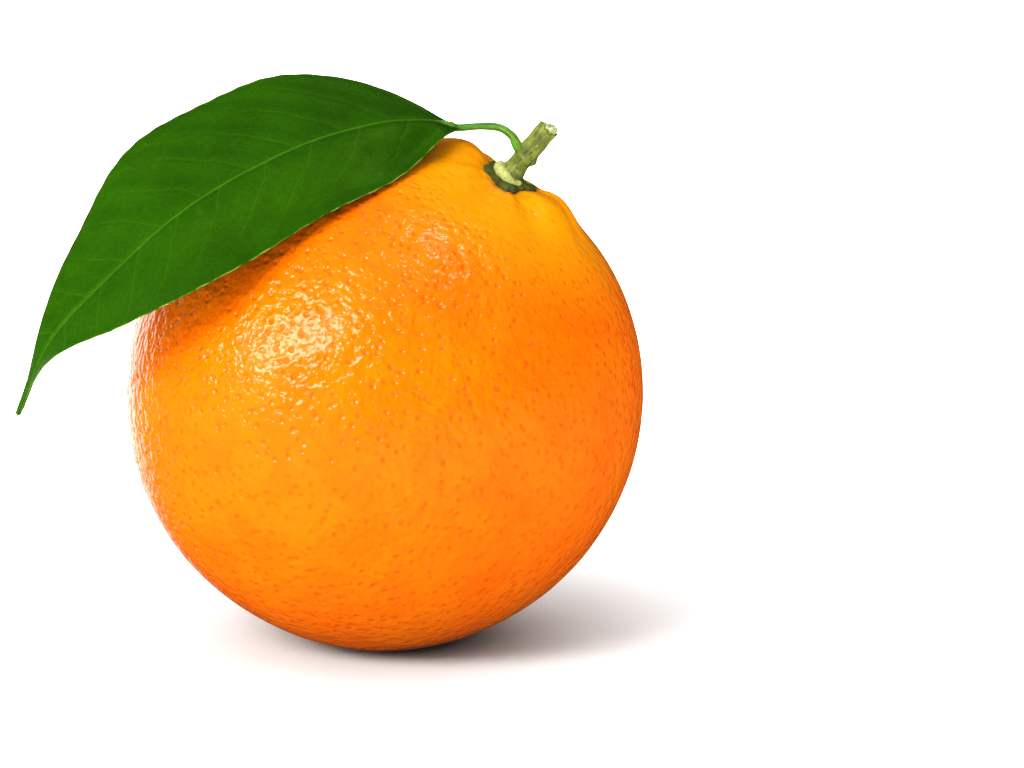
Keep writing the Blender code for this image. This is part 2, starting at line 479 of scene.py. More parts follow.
@dataclass(frozen=True)
class BladeFinish:
    """Leaf blade: dark and waxy above with paler veins, pale and matt below."""

    upper: Colour = colour(0.0145, 0.069, 0.0003)
    upper_tint: Colour = colour(0.0195, 0.086, 0.0004)
    lower: Colour = colour(0.07, 0.18, 0.022)
    vein: Colour = colour(0.045, 0.16, 0.004)
    margin: Colour = colour(0.26, 0.36, 0.07)
    gloss: Colour = colour(0.6, 1.0, 0.06)
    patch_size: float = 9.0
    gland_spacing: float = 1.0
    gland_size: float = 0.22
    roughness: float = 0.4
    relief: float = 0.02

    def material(self, effects: SharedEffects, veins: "VeinRule") -> Material:
        """Builds the blade's material.

        Args:
            effects: The shared node groups.
            veins: The rule that the veins follow.

        Returns:
            The material.
        """
        material, graph, shader = new_material("orange_blade")
        along, across, share = graph.split(graph.attribute(BLADE))
        is_lower = graph.math("LESS_THAN", share, 0.0)
        edge = graph.ease(abs(share), 0.982, 0.995)
        midrib, side_veins, net = veins.masks(graph, along, across)
        spread = graph.join(along, across, is_lower)
        gland = effects.marks(graph, spread, self.gland_spacing, self.gland_size)
        worn = graph.ease(graph.noise(spread, 0.45), 0.35, 0.6)
        mottled = effects.mottled(graph, spread, self.patch_size, 0.8, self.upper, self.upper_tint)
        tint = graph.layered(
            graph.out(mottled, "Colour"), (is_lower, self.lower), (0.07 * net, self.vein),
            (0.1 * gland, self.vein), (0.25 * side_veins, self.vein), (0.8 * midrib, self.vein),
            (0.8 * edge * worn, self.margin),
        )
        wax = graph.noise(spread, 0.4, 3.0, 0.6)
        furrowed = bump(graph, 1.0 - net, self.relief)
        graph.feed(shader, {
            "Base Color": tint, "Roughness": self.roughness + 0.12 * wax + 0.22 * is_lower + 0.06 * net,
            "Normal": bump(graph, graph.noise(spread, 1.6, 3.0, 0.6), self.relief, Normal=furrowed),
            "Specular IOR Level": 0.36, "Specular Tint": self.gloss, "Subsurface Weight": 0.08,
            "Subsurface Radius": (0.25, 1.0, 0.1), "Subsurface Scale": 0.5 * MM,
        })
        return material


@dataclass(frozen=True)
class BarkFinish:
    """Young bark of a twig or a leaf stalk, with fine ridges and small lenticels."""

    name: str
    base: Colour
    tint: Colour
    fleck: Colour
    roughness: float
    ridge_width: float
    ridge_depth: float
    ridge_length: float = 3.0
    patch_size: float = 1.6
    fleck_spacing: float = 1.1
    fleck_size: float = 0.32
    fleck_height: float = 0.04

    def material(self, effects: SharedEffects) -> Material:
        """Builds the bark's material.

        Args:
            effects: The shared node groups.

        Returns:
            The material.
        """
        material, graph, shader = new_material(self.name)
        place = graph.attribute(BARK)
        lines = graph.group(effects.fibres, Place=place, Width=self.ridge_width, Length=self.ridge_length)
        ridges = graph.out(lines, "Height")
        fleck = effects.marks(graph, place, self.fleck_spacing, self.fleck_size)
        mottled = effects.mottled(graph, place, self.patch_size, 0.85, self.base, self.tint)
        tint = graph.shaded(graph.out(mottled, "Colour"), graph.ease(ridges, 0.35, 0.6, 0.62, 1.08))
        graph.feed(shader, {
            "Base Color": graph.layered(tint, (0.55 * fleck, self.fleck)),
            "Roughness": self.roughness + 0.12 * ridges,
            "Normal": bump(graph, fleck, self.fleck_height, Normal=bump(graph, ridges, self.ridge_depth)),
            "Subsurface Weight": 0.06, "Subsurface Scale": 0.4 * MM,
        })
        return material


@dataclass(frozen=True)
class ButtonFinish:
    """Calyx: dull green lobes with brown edges round a pale, corky collar, with painted shade in the crease and
    under the collar.
    """

    lobe: Colour = colour(0.03, 0.085, 0.006)
    lobe_tint: Colour = colour(0.1, 0.13, 0.012)
    collar: Colour = colour(0.46, 0.47, 0.15)
    # The lobes' own brown edges, and painted shade in the crease round the mound and under the collar.
    brown_edges_and_shade: Colour = colour(0.1, 0.06, 0.012)
    patch_size: float = 1.2
    grain_depth: float = 0.16

    def material(self, effects: SharedEffects) -> Material:
        """Builds the calyx's material.

        Args:
            effects: The shared node groups.

        Returns:
            The material.
        """
        material, graph, shader = new_material("orange_calyx")
        collar_share, brown, crease = graph.split(graph.attribute(BUTTON))
        spot = graph.scaled(graph.spot(), TO_MM)
        grain = graph.noise(spot, 2.6, 4.0, 0.65)
        pale = graph.shaded(self.collar, graph.ease(grain, 0.3, 0.6, 0.72, 1.05))
        mottled = effects.mottled(graph, spot, self.patch_size, 0.9, self.lobe, self.lobe_tint)
        tint = graph.layered(
            graph.out(mottled, "Colour"), (graph.ease(collar_share + 0.35 * (grain - 0.5), 0.3, 0.7), pale),
            # Brown marks the lobes' own edges and is painted shade on the collar's lower half; the crease mark
            # is painted shade round the mound's foot and under the collar.
            (0.8 * graph.ease(brown + 0.5 * (grain - 0.5), 0.4, 0.8), self.brown_edges_and_shade),
            (0.6 * graph.ease(crease + 0.9 * (grain - 0.5), 0.35, 0.8), self.brown_edges_and_shade),
        )
        graph.feed(shader, {
            "Base Color": tint, "Roughness": 0.5 + 0.25 * grain, "Normal": bump(graph, grain, self.grain_depth),
            "Subsurface Weight": 0.08, "Subsurface Scale": 0.5 * MM,
        })
        return material


@dataclass(frozen=True)
class WoodFinish:
    """Pale, freshly cut wood at the end of the twig."""

    base: Colour = colour(0.52, 0.53, 0.28)
    tint: Colour = colour(0.3, 0.32, 0.1)
    patch_size: float = 0.7
    grain_depth: float = 0.05

    def material(self, effects: SharedEffects) -> Material:
        """Builds the cut wood's material.

        Args:
            effects: The shared node groups.

        Returns:
            The material.
        """
        material, graph, shader = new_material("orange_cut_wood")
        spot = graph.scaled(graph.spot(), TO_MM)
        mottled = effects.mottled(graph, spot, self.patch_size, 0.9, self.base, self.tint)
        graph.feed(shader, {
            "Base Color": graph.out(mottled, "Colour"), "Roughness": 0.6 + 0.2 * graph.out(mottled, "Value"),
            "Normal": bump(graph, graph.noise(spot, 5.0, 3.0, 0.6), self.grain_depth),
        })
        return material


# Mesh helpers


def through(stations: Sequence[tuple[float, float]], at: Array) -> Array:
    """A smooth curve through stations.

    Args:
        stations: The (place, value) pairs that it passes through.
        at: The places where it is read.

    Returns:
        Its values there.
    """
    places = np.array([place for place, _ in stations], float)
    values = np.array([value for _, value in stations], float)
    before = np.maximum(np.arange(len(places)) - 1, 0)
    after = np.minimum(np.arange(len(places)) + 1, len(places) - 1)
    slopes = (values[after] - values[before]) / (places[after] - places[before])
    index = np.clip(np.searchsorted(places, at, side="right") - 1, 0, len(places) - 2)
    width = places[index + 1] - places[index]
    t = np.clip((at - places[index]) / width, 0.0, 1.0)
    rise = (3 - 2 * t) * t * t
    lead = ((t - 2) * t + 1) * t * width * slopes[index]
    tail = (t - 1) * t * t * width * slopes[index + 1]
    return values[index] + (values[index + 1] - values[index]) * rise + lead + tail


def direction(lean: float, heading: float) -> Array:
    """The unit vector at an angle from straight up, leaning towards a heading round +Z."""
    return np.array([math.sin(lean) * math.cos(heading), math.sin(lean) * math.sin(heading), math.cos(lean)])


def full_turn(count: int) -> Array:
    """Angles evenly round a full turn, in radians."""
    return np.linspace(0.0, 2.0 * np.pi, count, endpoint=False)


def spokes(turn: Array, first: Array, second: Array) -> Array:
    """Unit vectors at angles from one direction towards another that is square to it."""
    return np.cos(turn)[..., None] * first + np.sin(turn)[..., None] * second


def bell(place: Array, middle: Any, width: float) -> Array:
    """1 at a middle, falling smoothly to 0 over a width."""
    return np.exp(-(((place - middle) / width) ** 2))


def linked(name: str, data: Any) -> Object:
    """Puts an object in the scene, at the origin.

    Args:
        name: The new object's name.
        data: Its mesh, light or camera.

    Returns:
        The new object.
    """
    obj = bpy.data.objects.new(name, data)
    bpy.context.scene.collection.objects.link(obj)
    return obj


def loft(name: str, rings: Array, attributes: dict[str, Array], *materials: Any) -> Object:
    """A closed body through rings of points, with a point in the middle of each end.

    Args:
        name: The new object's name.
        rings: The points, by ring, by place round it, and by axis, in millimetres.
        attributes: Vectors to store, by ring and by place round it.
        materials: The material, if the body already has one.

    Returns:
        The new object, at the origin.
    """
    count, around, _ = rings.shape
    here = np.arange(around)
    following = (here + 1) % around
    faces = []
    for low in range(0, (count - 1) * around, around):
        high = low + around
        faces += np.stack([low + here, low + following, high + following, high + here], 1).tolist()
    faces += np.stack([following, here, np.full(around, count * around)], 1).tolist()
    top = (count - 1) * around
    faces += np.stack([top + here, top + following, np.full(around, count * around + 1)], 1).tolist()

    def with_ends(values: Array) -> Array:
        """The values in one list, with the two end points' values last."""
        return np.concatenate([values.reshape(-1, 3), values[:1].mean(1), values[-1:].mean(1)])

    mesh = bpy.data.meshes.new(name)
    mesh.from_pydata((with_ends(rings) * MM).tolist(), [], faces)
    for label, values in attributes.items():
        stored = mesh.attributes.new(label, "FLOAT_VECTOR", "POINT")
        stored.data.foreach_set("vector", with_ends(values).ravel().astype(np.float32))
    mesh.shade_smooth()
    for material in materials:
        mesh.materials.append(material)
    return linked(name, mesh)


def tube_frames(path: Array) -> tuple[Array, Array]:
    """Two directions square to a path at each of its points, turning as little as they can.

    Args:
        path: The points along the path.

    Returns:
        The first and the second direction at each point.
    """
    tangents = np.gradient(path, axis=0)
    tangents /= np.linalg.norm(tangents, axis=1, keepdims=True)
    first = np.zeros_like(path)
    start = np.cross(tangents[0], (0.0, 1.0, 0.0))
    first[0] = start / np.linalg.norm(start)
    for index in range(1, len(path)):
        carried = first[index - 1] - tangents[index] * np.dot(first[index - 1], tangents[index])
        first[index] = carried / np.linalg.norm(carried)
    return first, np.cross(tangents, first)


def smooth_path(points: Sequence[Sequence[float]], count: int) -> Array:
    """A smooth, evenly read curve through points.

    Args:
        points: The points that it passes through.
        count: How many points it is read at.

    Returns:
        The points along it.
    """
    given = np.array(points, float)
    steps = np.concatenate([[0.0], np.cumsum(np.linalg.norm(np.diff(given, axis=0), axis=1))])
    at = np.linspace(0.0, steps[-1], count)
    return np.stack([through(list(zip(steps, given[:, axis])), at) for axis in range(3)], 1)


def tube(path: Array, radius: Array, around: Array) -> Array:
    """Rings of points round a path.

    Args:
        path: The points along the middle.
        radius: The radius, by ring and by place round it.
        around: The angle of each point, laid out like the radius.

    Returns:
        The points, by ring, by place round it, and by axis.
    """
    first, second = tube_frames(path)
    return path[:, None] + radius[..., None] * spokes(around, first[:, None], second[:, None])


def bark_marks(along: Array, radius: Array, around: Array) -> Array:
    """Where each point of a stalk lies on its bark: along it, and in two directions across."""
    return np.stack([along, radius * np.cos(around), radius * np.sin(around)], 2)


def plain_mesh(obj: Object) -> Object:
    """Turns an object with its modifiers into a plain mesh object of the same name.

    Args:
        obj: The object whose evaluated shape is kept.

    Returns:
        The plain object.
    """
    bpy.context.view_layer.update()
    graph = bpy.context.evaluated_depsgraph_get()
    shape = obj.evaluated_get(graph)
    mesh = bpy.data.meshes.new_from_object(shape, preserve_all_data_layers=True, depsgraph=graph)
    old = obj.data
    obj.modifiers.clear()
    obj.data = mesh
    bpy.data.meshes.remove(old)
    mesh.name = obj.name
    return obj


class GeometryTree(InputGraph):
    """A Geometry Nodes tree with named inputs, and the modifier that runs it."""

    def __init__(self, name: str, inputs: dict[str, Any]) -> None:
        """Starts a tree, with the value that each named input takes here."""
        super().__init__(name, "GeometryNodeTree", inputs, ("INPUT", "OUTPUT"))
        self.values = inputs

    def run(self, obj: Any, geometry: Node, material: Material) -> Object:
        """Ends the tree, runs it on an object and keeps the result as a plain mesh.

        Args:
            obj: The object that carries the tree.
            geometry: The node whose first output is the geometry to put out.
            material: The material for all of it.

        Returns:
            The same object, with its new mesh.
        """
        real = self.add("GeometryNodeRealizeInstances", {0: geometry.outputs[0]})
        smooth = self.add("GeometryNodeSetShadeSmooth", {"Geometry": real.outputs[0]})
        painted = self.add("GeometryNodeSetMaterial", {"Geometry": smooth.outputs[0], "Material": material})
        self.add("NodeGroupOutput", {0: painted.outputs[0]})
        modifier = obj.modifiers.new(self.tree.name, "NODES")
        modifier.node_group = self.tree
        for item in self.tree.interface.items_tree:
            if item.item_type == "SOCKET" and item.in_out == "INPUT" and item.name in self.values:
                modifier[item.identifier] = self.values[item.name]
        return plain_mesh(obj)


def place_piece(obj: Object, slot: str, *nodes: str) -> Object:
    """Joins a finished piece to the frame and reports it.

    Args:
        obj: The finished piece.
        slot: The record's material slot that it takes its finish from.
        nodes: The CAD nodes that it stands for.

    Returns:
        The same piece.
    """
    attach(obj, BODY)
    if nodes:
        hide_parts(*nodes)
    stands_for = ", ".join(nodes) or "none"
    log.info("%s: %d faces, slot %s, stands for %s", obj.name, len(obj.data.polygons), slot, stands_for)
    return obj


# Fruit


@dataclass(frozen=True)
class Swell:
    """A rise or a hollow round the fruit's axis, in millimetres and in degrees from the stem end."""

    height: float
    angle: float
    spread: float

    def at(self, maths: Any, polar: Any, part: Any = 1.0) -> Any:
        """Its height at an angle from the stem end, times the part of it that is there."""
        offset = (polar - math.radians(self.angle)) / math.radians(self.spread)
        return self.height * part * maths.exp(-(offset**2))


@dataclass(frozen=True)
class RindForm:
    """The rule for the fruit's radius, in millimetres, about its own axis."""

    radius: float = 38.0
    lean: float = math.radians(30.0)
    heading: float = math.radians(-13.5)
    flattening: Swell = Swell(1.0, 0.0, 22.0)
    cavity: Swell = Swell(0.8, 0.0, 6.0)
    shoulder: Swell = Swell(2.3, 11.5, 7.5)
    shoulder_sharpness: float = 1.3
    furrow: Swell = Swell(0.5, 14.0, 9.0)
    furrows: int = 7
    furrow_unevenness: float = 0.7
    heel: Swell = Swell(0.45, 148.0, 20.0)
    navel: Swell = Swell(0.5, 180.0, 3.5)
    lump: float = 0.2
    lump_turn: float = 0.6
    dimple_spacing: float = 1.5
    dimple_reach: float = 0.62

    def radius_at(self, maths: Any, polar: Any, around: Any) -> Any:
        """The fruit's radius without its dimples.

        Args:
            maths: What gives cos, sin and exp: numpy, or a Graph.
            polar: The angle from the stem end.
            around: The angle round the fruit's own axis.

        Returns:
            The radius, in millimetres.
        """
        two_sided = (0.5 + 0.5 * maths.cos(2.0 * around)) ** self.shoulder_sharpness
        furrows = self.furrows * around + self.furrow_unevenness * maths.sin(around)
        crease = (0.5 + 0.5 * maths.cos(furrows)) ** 2
        radius = self.radius - self.flattening.at(maths, polar) - self.cavity.at(maths, polar)
        radius = radius + self.shoulder.at(maths, polar, two_sided) - self.furrow.at(maths, polar, crease)
        radius = radius + self.heel.at(maths, polar) - self.navel.at(maths, polar)
        return radius + self.lump * maths.sin(polar) ** 2 * maths.cos(2.0 * around + self.lump_turn)


@dataclass
class Fruit:
    """The whole berry, dimpled all over and flattened where it rests."""

    effects: SharedEffects
    form: RindForm = RindForm()
    finish: RindFinish = RindFinish()
    side_segments: int = 127
    dimple_depth: float = 0.06
    dent_spacing: float = 3.4
    dent_reach: float = 1.25
    dent_depth: float = 0.07
    ripple: float = 0.16
    pleats: int = 17
    pleat: Swell = Swell(1.0, 9.0, 6.0)
    pleat_depth: float = 0.09
    rest_softness: float = 0.5

    def centre(self) -> Vector:
        """The middle of the berry, in metres: over the rest spot, half the fruit's depth below its top."""
        low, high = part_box("fruit")
        return Vector((0.0, 0.0, high.z - (high.y - low.y) / 2.0))

    def place(self) -> Matrix:
        """The matrix from the fruit's own axes to the frame, in millimetres."""
        turn = Matrix.Rotation(self.form.heading, 4, "Z") @ Matrix.Rotation(self.form.lean, 4, "Y")
        return Matrix.Translation(self.centre() * TO_MM) @ turn

    def build(self) -> Object:
        """Makes the berry with Geometry Nodes: a ball of square faces drawn out by the radius rule.

        Returns:
            The finished piece.
        """
        tree = GeometryTree("rind_form", {
            "Side Segments": self.side_segments, "Dimple Depth": self.dimple_depth,
            "Dent Depth": self.dent_depth, "Pleat Depth": self.pleat_depth, "Ripple": self.ripple,
            "Centre": tuple(self.centre() * TO_MM), "Turn": tuple(self.place().to_euler()),
        })
        lines = tree.input("Side Segments") + 1.0
        cube = tree.add("GeometryNodeMeshCube", {
            "Size": (2.0, 2.0, 2.0), "Vertices X": lines, "Vertices Y": lines, "Vertices Z": lines,
        })
        corner = tree.scaled(tree.out(tree.add("GeometryNodeInputPosition")), math.pi / 4.0)
        even = tree.vector_math("NORMALIZE", tree.vector_math("TANGENT", corner))
        x, y, z = tree.split(even)
        polar = tree.math("ARCCOSINE", z)
        around = tree.math("ARCTAN2", y, x)
        grown = tree.scaled(even, self.form.radius)
        kept = tree.add("GeometryNodeStoreNamedAttribute", {
            "Geometry": cube.outputs["Mesh"], "Name": GROWN, "Value": grown,
        }, data_type="FLOAT_VECTOR", domain="POINT")

        radius = self.form.radius_at(tree, polar, around)
        dimple = tree.pits(grown, self.form.dimple_spacing, self.form.dimple_reach)
        dent = tree.pits(grown, self.dent_spacing, self.dent_reach)
        radius = radius - tree.input("Dimple Depth") * dimple - tree.input("Dent Depth") * dent
        radius = radius + tree.input("Ripple") * (tree.noise(grown, 0.12, 2.0, 0.45) - 0.5)
        sway = 2.0 * tree.noise(grown, 0.08)
        pleated = tree.input("Pleat Depth") * self.pleat.at(tree, polar)
        radius = radius + pleated * tree.cos(self.pleats * around + sway)
        turned = tree.add("ShaderNodeVectorRotate", {
            "Vector": tree.scaled(even, radius), "Rotation": tree.input("Turn"),
        }, rotation_type="EULER_XYZ")
        east, north, up = tree.split(tree.vector_math("ADD", turned.outputs[0], tree.input("Centre")))
        rested = tree.math("SMOOTH_MAX", up, 0.0, self.rest_softness)
        final = tree.scaled(tree.join(east, north, rested), MM)
        shaped = tree.add("GeometryNodeSetPosition", {"Geometry": kept.outputs[0], "Position": final})
        fruit = linked("orange_fruit", bpy.data.meshes.new("orange_fruit"))
        tree.run(fruit, shaped, self.finish.material(self.effects, self.form))
        return place_piece(fruit, "rind", "fruit")


# Calyx


@dataclass
class Calyx:
    """The five-lobed button in the stem cavity, with the corky collar that holds the twig."""

    effects: SharedEffects
    fruit: Fruit
    finish: ButtonFinish = ButtonFinish()
    lobes: int = 5
    radius: float = 3.1
    lobe_reach: float = 1.25
    lobe_thickness: float = 0.95
    mound_radius: float = 2.72
    mound_height: float = 0.6
    cushion_radius: float = 2.65
    cushion_waist: float = 0.62
    cushion_height: float = 1.65
    cushion_rise: float = 0.75
    cushion_tilt: float = 0.25
    foot_height: float = 0.63
    sink: float = 0.5
    rim: tuple[float, ...] = (0.95, 0.98, 1.0)
    rings: int = 56
    cushion_rings: int = 28
    segments: int = 180

    def outline(self, around: Array) -> Array:
        """How far the button reaches from the axis.

        Args:
            around: The angles round the axis.

        Returns:
            The reach at each angle, in millimetres.
        """
        lobe = 0.5 + 0.5 * np.cos(self.lobes * around + 0.5 * np.sin(2.0 * around))
        ragged = 0.12 * np.sin(13.0 * around + 1.0) + 0.08 * np.sin(23.0 * around)
        return self.radius + self.lobe_reach * lobe**1.5 + ragged

    def surface(self, reach: Array, around: Array) -> Array:
        """The height of the bare rind along the fruit's axis, at distances from the axis, in millimetres."""
        polar = np.arcsin(reach / self.fruit.form.radius)
        return self.fruit.form.radius_at(np, polar, around) * np.cos(polar)

    def top(self, reach: Array, around: Array) -> Array:
        """The height of the button's upper side along the fruit's axis.

        Args:
            reach: Distances from the axis, in millimetres.
            around: Angles round the axis.

        Returns:
            The heights, in millimetres.
        """
        edge = self.outline(around)
        dome = np.sqrt(np.clip(1.0 - (reach / edge) ** 6, 0.0, 1.0))
        keel = 0.16 * np.cos(self.lobes * around) * np.clip(reach / edge, 0.0, 1.0)
        uneven = 1.0 + 0.1 * np.sin(2.0 * around + 0.6) + 0.04 * np.sin(7.0 * around)
        mound = self.mound_height * uneven * np.clip(1.0 - (reach / self.mound_radius) ** 4, 0.0, 1.0)
        return self.surface(reach, around) + self.lobe_thickness * dome + keel * dome + mound

    def build(self) -> Object:
        """Makes the button as rings over its upper side and back under it.

        Returns:
            The finished piece.
        """
        around = full_turn(self.segments)
        edge = self.outline(around)
        shares = np.concatenate([np.linspace(0.02, 0.9, self.rings), self.rim])
        upper = shares[:, None] * edge
        lower = shares[::-4, None] * edge
        lower_height = self.surface(lower, around) - self.sink
        lower_height[0] += self.sink * 0.9
        reach = np.concatenate([upper, lower])
        height = np.concatenate([self.top(upper, around), lower_height])
        local = np.stack([reach * np.cos(around), reach * np.sin(around), height], 2)
        turn = np.array(self.fruit.place())
        rings = local @ turn[:3, :3].T + turn[:3, 3]
        brown = 0.85 * np.clip((reach / edge - 0.9) / 0.1, 0.0, 1.0)
        # The third mark is painted shade in the crease round the mound's foot.
        marks = np.stack([np.zeros_like(reach), brown, bell(reach, self.mound_radius, 0.2)], 2)
        material = self.finish.material(self.effects)
        return place_piece(loft("orange_calyx", rings[::-1], {BUTTON: marks[::-1]}, material), "calyx", "calyx")

    def build_collar(self, foot: Array, axis: Array) -> Object:
        """Makes the corky cushion that grips the twig's foot, square to the twig.

        Args:
            foot: The twig's foot, in millimetres.
            axis: The direction that the twig grows in.

        Returns:
            The finished piece.
        """
        turn = full_turn(self.segments)
        first, second = tube_frames(np.stack([foot, foot + axis]))
        bend = np.linspace(-0.5 * np.pi, 0.5 * np.pi, self.cushion_rings)
        rings = []
        for angle in bend:
            lumps = 0.09 * np.sin(2.0 * turn + 1.0) + 0.05 * np.sin(5.0 * turn + angle)
            lumps = lumps + 0.025 * np.sin(11.0 * turn)
            bulge = self.cushion_waist + (1.0 - self.cushion_waist) * math.cos(angle) ** 0.7
            reach = self.cushion_radius * (1.0 + 0.6 * lumps) * bulge
            rise = self.cushion_rise + 0.5 * self.cushion_height * math.sin(angle) * (1.0 + 1.6 * lumps)
            rise = rise - self.cushion_tilt * np.cos(turn - 2.4)
            rings.append(foot + reach[:, None] * spokes(turn, first[0], second[0]) + rise[:, None] * axis)
        # Painted shade: the collar's lower half gets the brown and crease marks, strongest underneath.
        low = 0.75 * np.clip(-np.sin(bend), 0.0, 1.0) ** 2
        marks = np.stack([np.ones_like(bend), 0.3 * low, low], 1)[:, None] * np.ones((1, self.segments, 1))
        material = self.finish.material(self.effects)
        collar = loft("orange_calyx_collar", np.array(rings), {BUTTON: marks}, material)
        return place_piece(collar, "calyx", "calyx")

    def collar_top(self) -> Array:
        """The point on the fruit's axis at the top of the collar, in millimetres."""
        height = float(self.surface(np.array(0.0), np.array(0.0))) + self.lobe_thickness
        return np.array(self.fruit.place() @ Vector((0.0, 0.0, height + self.foot_height)))


# Twig and petiole


@dataclass
class Twig:
    """The cut end of twig: ribbed bark, a node where the petiole leaves, and a frayed end of wood."""

    effects: SharedEffects
    calyx: Calyx
    finish: BarkFinish = BarkFinish(
        "orange_twig_bark", colour(0.225, 0.26, 0.03), colour(0.065, 0.085, 0.006), colour(0.34, 0.35, 0.12),
        roughness=0.6, ridge_width=0.34, ridge_depth=0.05,
    )
    lean: float = math.radians(38.5)
    heading: float = math.radians(-4.0)
    radius: float = 1.55
    sunk: float = 0.9
    stations: Stations = (
        (0.0, 1.25), (0.12, 1.2), (0.24, 1.04), (0.36, 0.95),
        (0.44, 1.06), (0.56, 1.04), (0.8, 1.0), (1.0, 1.03),
    )
    ribs: int = 7
    sway: float = 0.16
    scar_place: float = 0.405
    scar_depth: float = 0.17
    node_place: float = 0.47
    node_swelling: float = 0.16
    torn_share: float = 0.14
    lip: Stations = ((0.97, -0.02), (0.9, -0.12), (0.6, -0.2), (0.25, -0.22))
    core: Stations = (
        (1.2, -1.2), (1.32, -0.2), (1.34, 0.05), (1.25, 0.35), (1.05, 0.45), (0.7, 0.4), (0.3, 0.5)
    )
    rings: int = 120
    segments: int = 96
    core_segments: int = 72

    def axis(self) -> Array:
        """The direction that the twig grows in."""
        return direction(self.lean, self.heading)

    def ends(self) -> tuple[Array, Array]:
        """The two ends of the twig's middle line, in millimetres.

        Returns:
            The foot, sunk in the collar, and the middle of the cut end.
        """
        _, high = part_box("stem")
        foot = self.calyx.collar_top() - self.sunk * self.axis()
        length = (high.z * TO_MM - self.radius * math.sin(self.lean) - foot[2]) / math.cos(self.lean)
        return foot, foot + length * self.axis()

    def build(self) -> list[Object]:
        """Makes the bark, the collar round its foot, the wood inside the cut and the frayed fibres.

        Returns:
            The finished pieces.
        """
        foot, top = self.ends()
        share = np.linspace(0.0, 1.0, self.rings)
        path = foot + share[:, None] * (top - foot)
        path[:, 1] += self.sway * np.sin(2.2 * np.pi * share) * np.clip(share * 4.0, 0.0, 1.0)
        around, along = np.meshgrid(full_turn(self.segments), share)
        ribs = 0.018 * np.cos(self.ribs * around + 1.3 * np.sin(5.0 * along))
        ribs = ribs + 0.01 * np.cos(13.0 * around + 9.0 * along)
        knots = 0.045 * np.sin(3.0 * around + 14.0 * along) * np.sin(11.0 * along + 1.0)
        scar = -self.scar_depth * np.exp(-(((along - self.scar_place - 0.03 * np.cos(around)) / 0.018) ** 2))
        scar = scar * (0.55 + 0.45 * np.cos(around - 0.3))
        node = self.node_swelling * bell(along, self.node_place, 0.06)
        node = node * np.clip(np.cos(around - 2.9), 0.0, 1.0) ** 2
        radius = self.radius * through(self.stations, share)[:, None] * (1.0 + ribs + knots + scar + node)
        radius = radius * (1.0 + 0.035 * np.sin(5.0 * around) * np.clip((along - 0.9) * 10.0, 0.0, 1.0))
        torn = np.clip((along - 1.0 + self.torn_share) / self.torn_share, 0.0, 1.0) ** 2 * (
            0.32 * np.sin(2.0 * around + 0.8) + 0.18 * np.sin(9.0 * around) + 0.1 * np.sin(17.0 * around + 2.0)
        )
        rings = tube(path, radius, around) + torn[..., None] * self.axis()
        marks = bark_marks(along * float(np.linalg.norm(top - foot)), radius, around)
        middle = rings[-1].mean(0)
        inward = [middle + (rings[-1] - middle) * shrink + drop * self.axis() for shrink, drop in self.lip]
        rings = np.concatenate([rings, np.array(inward)])
        marks = np.concatenate([marks, np.array([marks[-1]] * len(inward))])
        bark = loft("orange_stem", rings, {BARK: marks}, self.finish.material(self.effects))
        place_piece(bark, "twig", "stem")
        collar = self.calyx.build_collar(foot, self.axis())
        wood = WoodFinish().material(self.effects)
        return [bark, collar, self._wood(top, tube_frames(path), wood), self._fibres(top, wood)]

    def _wood(self, top: Array, frames: tuple[Array, Array], wood: Material) -> Any:
        """The core of pale wood, torn off a little above the bark.

        Args:
            top: The middle of the cut end.
            frames: The two directions square to the twig, along it.
            wood: The wood's material.

        Returns:
            The finished piece.
        """
        turn = full_turn(self.core_segments)
        rings = []
        for reach, rise in self.core:
            uneven = 0.3 * np.sin(turn - 1.2) + 0.16 * np.sin(4.0 * turn + reach * 5.0)
            uneven = uneven + 0.1 * np.sin(11.0 * turn)
            lift = rise + uneven * (rise > -0.5)
            rings.append(top + reach * spokes(turn, frames[0][-1], frames[1][-1]) + lift[:, None] * self.axis())
        return place_piece(loft("orange_stem_wood", np.array(rings), {}, wood), "twig")

    def _fibres(self, top: Array, wood: Material) -> Object:
        """Frayed fibres that stand out of the cut, scattered by Geometry Nodes.

        Args:
            top: The middle of the cut end.
            wood: The wood's material.

        Returns:
            The finished piece.
        """
        tree = GeometryTree("frayed_fibres", {
            "Cut Radius": 1.25, "Density": 26.0, "Fibre Length": 0.95, "Fibre Radius": 0.05, "Seed": 7,
            "Centre": tuple(top), "Turn": (0.0, self.lean, self.heading),
        })
        disc = tree.add("GeometryNodeMeshCircle", {
            "Vertices": 24, "Radius": tree.input("Cut Radius"),
        }, fill_type="NGON")
        scatter = tree.add("GeometryNodeDistributePointsOnFaces", {
            "Mesh": disc.outputs[0], "Density": tree.input("Density"), "Seed": tree.input("Seed"),
        })
        strand = tree.add("GeometryNodeMeshCone", {
            "Vertices": 5, "Side Segments": 2, "Radius Top": 0.008, "Radius Bottom": tree.input("Fibre Radius"),
            "Depth": tree.input("Fibre Length"),
        })
        spread = tree.add("FunctionNodeRandomValue", {
            0: (-0.42, -0.42, -3.1), 1: (0.42, 0.42, 3.1), "Seed": tree.input("Seed"),
        }, data_type="FLOAT_VECTOR")
        size = tree.add("FunctionNodeRandomValue", {
            2: 0.45, 3: 1.25, "Seed": tree.input("Seed") + 3.0,
        }, data_type="FLOAT")
        turned = tree.add("FunctionNodeEulerToRotation", {0: spread.outputs[0]})
        placed = tree.add("GeometryNodeInstanceOnPoints", {
            "Points": scatter.outputs["Points"], "Instance": strand.outputs["Mesh"],
            "Rotation": turned.outputs[0], "Scale": size.outputs[1],
        })
        stood = tree.add("GeometryNodeTransform", {
            "Geometry": placed.outputs[0], "Translation": tree.input("Centre"), "Rotation": tree.input("Turn"),
        })
